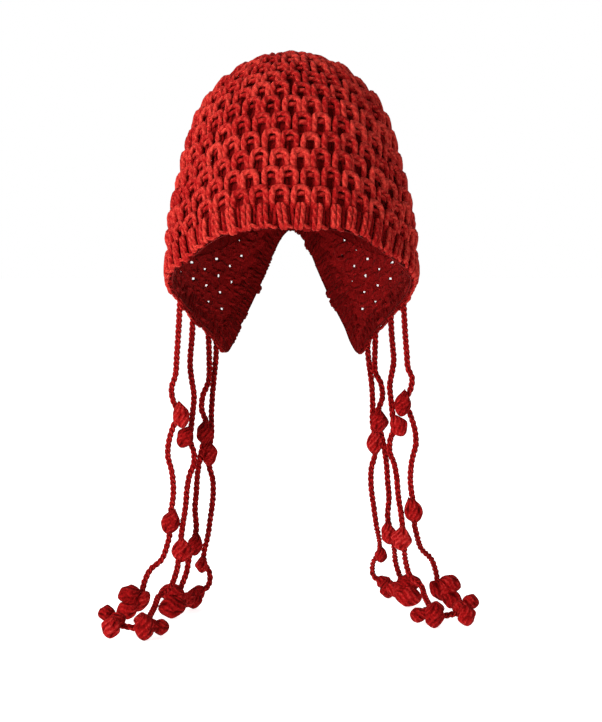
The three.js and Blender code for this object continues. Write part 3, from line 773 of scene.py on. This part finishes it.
def podSurface(centre, wide, deep, long, lean, puff, pointed=True):
    # an egg of yarn strands side by side: its half-width follows sin(pi * share) to a power, times one plus
    # the grooves that run down between the strands, with a slight twist, and the lumps
    p = podSet
    rows, around = p["rows"], p["around"]
    t = np.linspace(p["ends"], 1 - p["ends"], rows)[:, None]
    a = np.linspace(0, 2 * math.pi, around, endpoint=False)[None]
    if pointed:
        out = np.sin(math.pi * t ** p["lowMiddle"]) ** (p["roundEnd"] - p["pointedBy"] * t)
    else:
        out = np.sin(math.pi * t) ** p["budEnds"]
    twist, phase, phase2 = rng.uniform(*p["twist"]), rng.uniform(*p["phases"]), rng.uniform(*p["phases"])
    strand = np.abs(np.cos(p["strands"] / 2 * (a + twist * t) + phase)) ** p["grooveSharp"]
    waves = [along * t + about * a for along, about in p["lumpWaves"]]
    lump = np.sin(waves[0] + phase) * np.sin(waves[1] + phase2) + p["lumpSecond"] * np.sin(waves[2] + phase2)
    fade = np.minimum(1, p["lumpEase"] * t * (1 - t))
    out = out * (1 + fade * (p["groove"] * (strand - p["grooveFrom"]) + p["lump"] * lump))
    x = out * puff * wide / 2 * np.cos(a)
    y = out * puff * deep / 2 * np.sin(a)
    z = (0.5 - t) * puff * long + 0 * a
    tilt = math.radians(lean)
    turned = [x * math.cos(tilt) + z * math.sin(tilt), y, -x * math.sin(tilt) + z * math.cos(tilt)]
    verts = (np.stack(turned, -1) + np.asarray(centre)).reshape(-1, 3)
    verts[:, 2] = np.maximum(verts[:, 2], p["lowest"])
    i, k = np.meshgrid(np.arange(rows - 1), np.arange(around), indexing="ij")
    k2 = (k + 1) % around
    quad = [i * around + k, (i + 1) * around + k, (i + 1) * around + k2, i * around + k2]
    faces = np.vstack([np.stack(quad, -1).reshape(-1, 4), endCaps(around, rows)[:, ::-1]])
    corners = [(i, k), (i + 1, k), (i + 1, k + 1), (i, k + 1)]
    uv = np.stack([np.stack([c * long / rows, d / around * p["strands"] / 2], -1) for c, d in corners], -2)
    uv = np.vstack([uv.reshape(-1, 2), np.zeros((4 * (around - 2), 2))])
    # painted shade: grooves and sunken lumps get a low level, which the material darkens
    raised = p["shadeStrand"] * strand + p["shadeLump"] * (lump + p["lumpDeepest"]) + 0 * x
    level = p["shade"][0] + (p["shade"][1] - p["shade"][0]) * raised
    return verts, faces, uv, np.full(len(verts), rng.random()), level.ravel()


# Cords

# Routes of the cords at -X in millimetres, exit first, as in the part's source. The other side repeats them,
# moved as carried says.
cordSet = dict(
    radius=2.45, strand=1.25, letIn=3.0,
    # the plait: length of a full turn, how far strands pass in front as a share of one, the side it shows,
    # points of the smoothed line to each of the route's and their least number, and its step
    plait=12.0, crossing=0.62, front=(-0.25, -0.72, 0.64), fine=9, least=12, step=1.2,
    # the other side: how far it rises, how far back it lies, the heights at which a cord lies and hangs, and
    # the depths between which the rise comes in
    rise=8.6, back=40.0, lying=-392.0, hanging=-350.0, riseFrom=205.0, riseFull=245.0,
    routes=[
        [
            (-82, 25.5, -171.2), (-83, 28, -186), (-85, 31, -212), (-86, 31, -226), (-89, 31, -236),
            (-88, 31, -245), (-84, 31, -255), (-88, 31, -265), (-91, 31, -275), (-92, 31, -286),
            (-89, 31, -299), (-88, 31, -313), (-89, 31, -323), (-91, 31, -334), (-91, 31, -345),
            (-93, 31, -354), (-97, 30, -364), (-105, 28, -371), (-109, 24, -379), (-111, 18, -388),
        ],
        [
            (-73.5, 41.9, -181.6), (-74.3, 43, -196), (-76, 43, -219), (-75, 42, -229), (-73, 41, -243),
            (-74, 40, -255), (-75, 39, -265), (-76, 38, -275), (-73, 37, -285), (-73, 36, -293),
            (-76, 34, -301), (-78, 32, -312), (-79, 30, -325), (-81, 27, -338), (-82, 23, -348),
            (-83, 17, -360), (-85, 11, -371), (-89, 3, -380), (-96, -7, -384), (-98, -20, -389),
            (-100, -31, -392.5), (-101, -38, -394.5),
        ],
        [
            (-63.3, 53.5, -192.5), (-62.5, 55, -208), (-63, 55, -233), (-67, 54, -243), (-68, 53, -254),
            (-65, 52, -263), (-66, 51, -275), (-69, 50, -289), (-71, 49, -302), (-72, 48, -316),
            (-73, 47, -329), (-72, 46, -343), (-74, 45, -353), (-77, 42, -363), (-79, 38, -375),
            (-84, 31, -388),
        ],
        [
            (-56.8, 58.1, -200.6), (-57.5, 59.5, -215), (-60, 59, -241), (-61, 58, -258), (-61, 57, -274),
            (-63, 56, -285), (-63, 56, -296), (-60, 56, -308), (-60, 56, -322), (-62, 57, -337),
            (-64, 58, -351), (-67, 60, -364), (-67, 62, -372), (-63, 64, -381), (-64, 63, -390),
            (-71, 60, -395),
        ],
    ],
    # leaf buds: cord, name, place, size across and along, lean; a few follow the photo more closely than the
    # solids do
    leaves=[
        (1, "upper", (-82, 26.5, -255), 11.5, 20, -8), (1, "lower", (-89.6, 26.5, -334.5), 13, 19, 20),
        (2, "upper", (-78.8, 33.5, -272), 12, 18, 26), (2, "lower", (-81, 17.5, -354), 14, 18.5, 0),
        (3, "upper", (-65.5, 47, -270), 12, 18, 0), (3, "lower", (-72.2, 40, -353.5), 10.5, 18, 8),
        (4, "upper", (-62.4, 51.5, -286.5), 11.5, 19, 0), (4, "lower", (-68.5, 55.5, -372), 9, 13, 0),
    ],
    # buds in bunches: bunch, place, size across and along, lean
    buds=[
        (1, (-119.6, 12, -386.3), 9.5, 13, 70), (1, (-120.7, 8, -397.3), 10, 13, 60),
        (1, (-112, 15, -392.5), 9, 15, 45), (1, (-117, 11.5, -392), 8, 10, 0),
        (2, (-102.8, -52, -397), 12.5, 17, 0), (2, (-91.9, -42, -399), 10, 11, 80),
        (2, (-104.6, -41, -394.3), 9, 12, 90), (2, (-99.5, -45.5, -397), 9, 13, 90),
        (3, (-89.4, 26, -388), 10, 15, 90), (3, (-88.5, 21, -397.8), 12, 16.5, 80),
        (3, (-84.6, 27, -394), 11, 13, 0),
        (4, (-80, 48, -398), 9.5, 13, 60), (4, (-72.3, 62, -395.5), 9, 12, 50),
        (4, (-75, 55, -398.5), 11, 13, 0),
        (5, (-130.5, -38, -390), 10, 11.5, 80), (5, (-126.1, -50, -397.5), 12, 14.5, 10),
        (5, (-122.7, -42, -394), 10, 12, 70),
    ],
    # the last bunch is tied to the second one's by a stub of cord
    lastBunch=5, tiedTo=2, stub=[(-122, -44, -397), (-103, -49, -399.5)],
    leafDepth=8.0, budDepth=10.0,
)


def eased(x, start, end):
    # 3 t^2 - 2 t^3, where t is the share of the way from start to end
    t = np.clip((x - start) / (end - start), 0, 1)
    return t * t * (3 - 2 * t)


def carried(points, side):
    # the other side: mirrored, a little higher where it hangs and further back where it lies
    p = np.array(points, float).reshape(-1, 3)
    if side == "left":
        return p
    c = cordSet
    hang = eased(p[:, 2], c["lying"], c["hanging"])
    lower = eased(-p[:, 2], c["riseFrom"], c["riseFull"])
    return np.stack([-p[:, 0], p[:, 1] + c["back"] * (1 - hang), p[:, 2] + c["rise"] * hang * lower], 1)


def plait(route, s):
    # three strands a third of a turn apart, that swing side to side (sin a) and to and fro (sin 2a)
    line = smoothLine(route, max(len(route) * s["fine"], s["least"]))
    run = np.r_[0, np.cumsum(np.linalg.norm(np.diff(line, axis=0), axis=1))]
    line = np.stack([np.interp(np.arange(0, run[-1], s["step"]), run, line[:, c]) for c in range(3)], 1)
    t = np.gradient(line, axis=0)
    t /= np.linalg.norm(t, axis=1, keepdims=True)
    b = np.cross(t, np.array(s["front"]))
    b /= np.linalg.norm(b, axis=1, keepdims=True)
    n = np.cross(b, t)
    turn = 2 * math.pi * np.arange(len(line)) * s["step"] / s["plait"]
    aside, forth = s["radius"] - s["strand"], s["crossing"] * s["strand"]
    paths = []
    for third in range(3):
        a = turn + third * 2 * math.pi / 3
        paths.append(line + b * (aside * np.sin(a))[:, None] + n * (forth * np.sin(2 * a))[:, None])
    paths = np.stack(paths)
    verts, faces, uv, tone, level = yarnTubes(paths, np.broadcast_to(n, paths.shape), s["strand"])
    # level: distance from the cord's middle, less its radius, so that the painted shade darkens only the
    # grooves
    corners = verts.reshape(3, len(line), tubeSet["sides"], 3)
    level = np.linalg.norm(corners - line[None, :, None], axis=-1).ravel() - s["radius"]
    return line, (verts, faces, uv, tone, level)


def makeBunch(s, side, sign, number):
    # the bunch's buds side by side, and for the last one the cord that ties it to another
    puff = podSet["puff"][number]
    parts = [podSurface(carried(place, side)[0], wide, s["budDepth"], long, sign * lean, puff, False)
             for which, place, wide, long, lean in s["buds"] if which == number]
    if number == s["lastBunch"]:
        parts.append(plait(carried(s["stub"], side), s)[1])
    return makePiece(f"bud_bunch_{side}_{number}", parts, cordMaterial, [f"bud_{side}_{number}"])


def makeCord(s, side, sign, number, points):
    route = carried(points, side)
    exitPoint = route[0].copy()
    route[0, 2] += s["letIn"]
    line, tubes = plait(route, s)
    leaves, puff = [], podSet["leafPuff"]
    for cordNumber, name, place, wide, long, lean in s["leaves"]:
        if cordNumber == number:
            part = podSurface(carried(place, side)[0], wide, s["leafDepth"], long, sign * lean, puff)
            leaves.append(makePiece(f"leaf_bud_{side}_{number}_{name}", [part], cordMaterial,
                                    [f"leaf_{side}_{number}_{name}"]))
    piece = makePiece(f"tie_cord_{side}_{number}", [tubes], cordMaterial,
                      [f"cord_{side}_{number}"])


def makeCords(s):
    # on each side the bunches, then the cords that end in them; the second cord also carries the last bunch
    for side, sign in (("left", 1), ("right", -1)):
        bunches = {number: makeBunch(s, side, sign, number) for number in podSet["puff"]}
        for number, points in enumerate(s["routes"], 1):
            makeCord(s, side, sign, number, points)


makeCords(cordSet)


# Floor and light

stageSet = dict(
    floorLevel=-406.7, floorSize=30.0, floorColour=(0.93, 0.93, 0.93), floorRoughness=0.9, glow=0.8,
    worldColour=(1.0, 1.0, 1.0), worldLight=0.3, worldSeen=1.0,
    # lights: place in metres, size, power, colour
    lights=[
        ((-1.7, -1.5, 0.95), 0.9, 55.0, (1.0, 0.96, 0.93)), ((1.5, -1.4, 0.8), 1.4, 2.0, (1.0, 0.97, 0.97)),
        ((-1.5, -1.5, -0.28), 0.25, 14.5, (1.0, 0.95, 0.93)), ((0.0, 1.5, 1.9), 1.8, 16.0, (1.0, 1.0, 1.0)),
    ],
    target=(0, 0, -0.15),
)


def makeStage(s):
    # a pale floor that glows a little, four area lights turned to the hat, and a white world
    half = s["floorSize"] / 2
    z = s["floorLevel"] * mm
    mesh = bpy.data.meshes.new("floor")
    corners = [(-half, -half, z), (half, -half, z), (half, half, z), (-half, half, z)]
    mesh.from_pydata(corners, [], [(0, 1, 2, 3)])
    mat = bpy.data.materials.new("pale_floor")
    mat.use_nodes = True
    shader = mat.node_tree.nodes["Principled BSDF"]
    shader.inputs["Base Color"].default_value = (*s["floorColour"], 1)
    shader.inputs["Roughness"].default_value = s["floorRoughness"]
    shader.inputs["Emission Color"].default_value = (1, 1, 1, 1)
    shader.inputs["Emission Strength"].default_value = s["glow"]
    mesh.materials.append(mat)
    floor = bpy.data.objects.new("floor", mesh)
    bpy.context.scene.collection.objects.link(floor)
    for i, (place, size, power, colour) in enumerate(s["lights"]):
        data = bpy.data.lights.new(f"light_{i}", "AREA")
        data.size = size
        data.energy = power
        data.color = colour
        lamp = bpy.data.objects.new(f"light_{i}", data)
        lamp.location = place
        lamp.rotation_euler = (Vector(s["target"]) - Vector(place)).to_track_quat("-Z", "Y").to_euler()
        bpy.context.scene.collection.objects.link(lamp)
    world = bpy.data.worlds.new("studio")
    bpy.context.scene.world = world
    world.use_nodes = True
    nodes, links = world.node_tree.nodes, world.node_tree.links
    back = nodes["Background"]
    back.inputs["Color"].default_value = (*s["worldColour"], 1)
    rays = nodes.new("ShaderNodeLightPath")
    mix = nodes.new("ShaderNodeMapRange")
    mix.inputs["To Min"].default_value = s["worldLight"]
    mix.inputs["To Max"].default_value = s["worldSeen"]
    links.new(rays.outputs["Is Camera Ray"], mix.inputs["Value"])
    links.new(mix.outputs["Result"], back.inputs["Strength"])
    view = bpy.context.scene.view_settings
    view.view_transform = "Standard"
    view.look = "None"


makeStage(stageSet)
print("floor and light made")
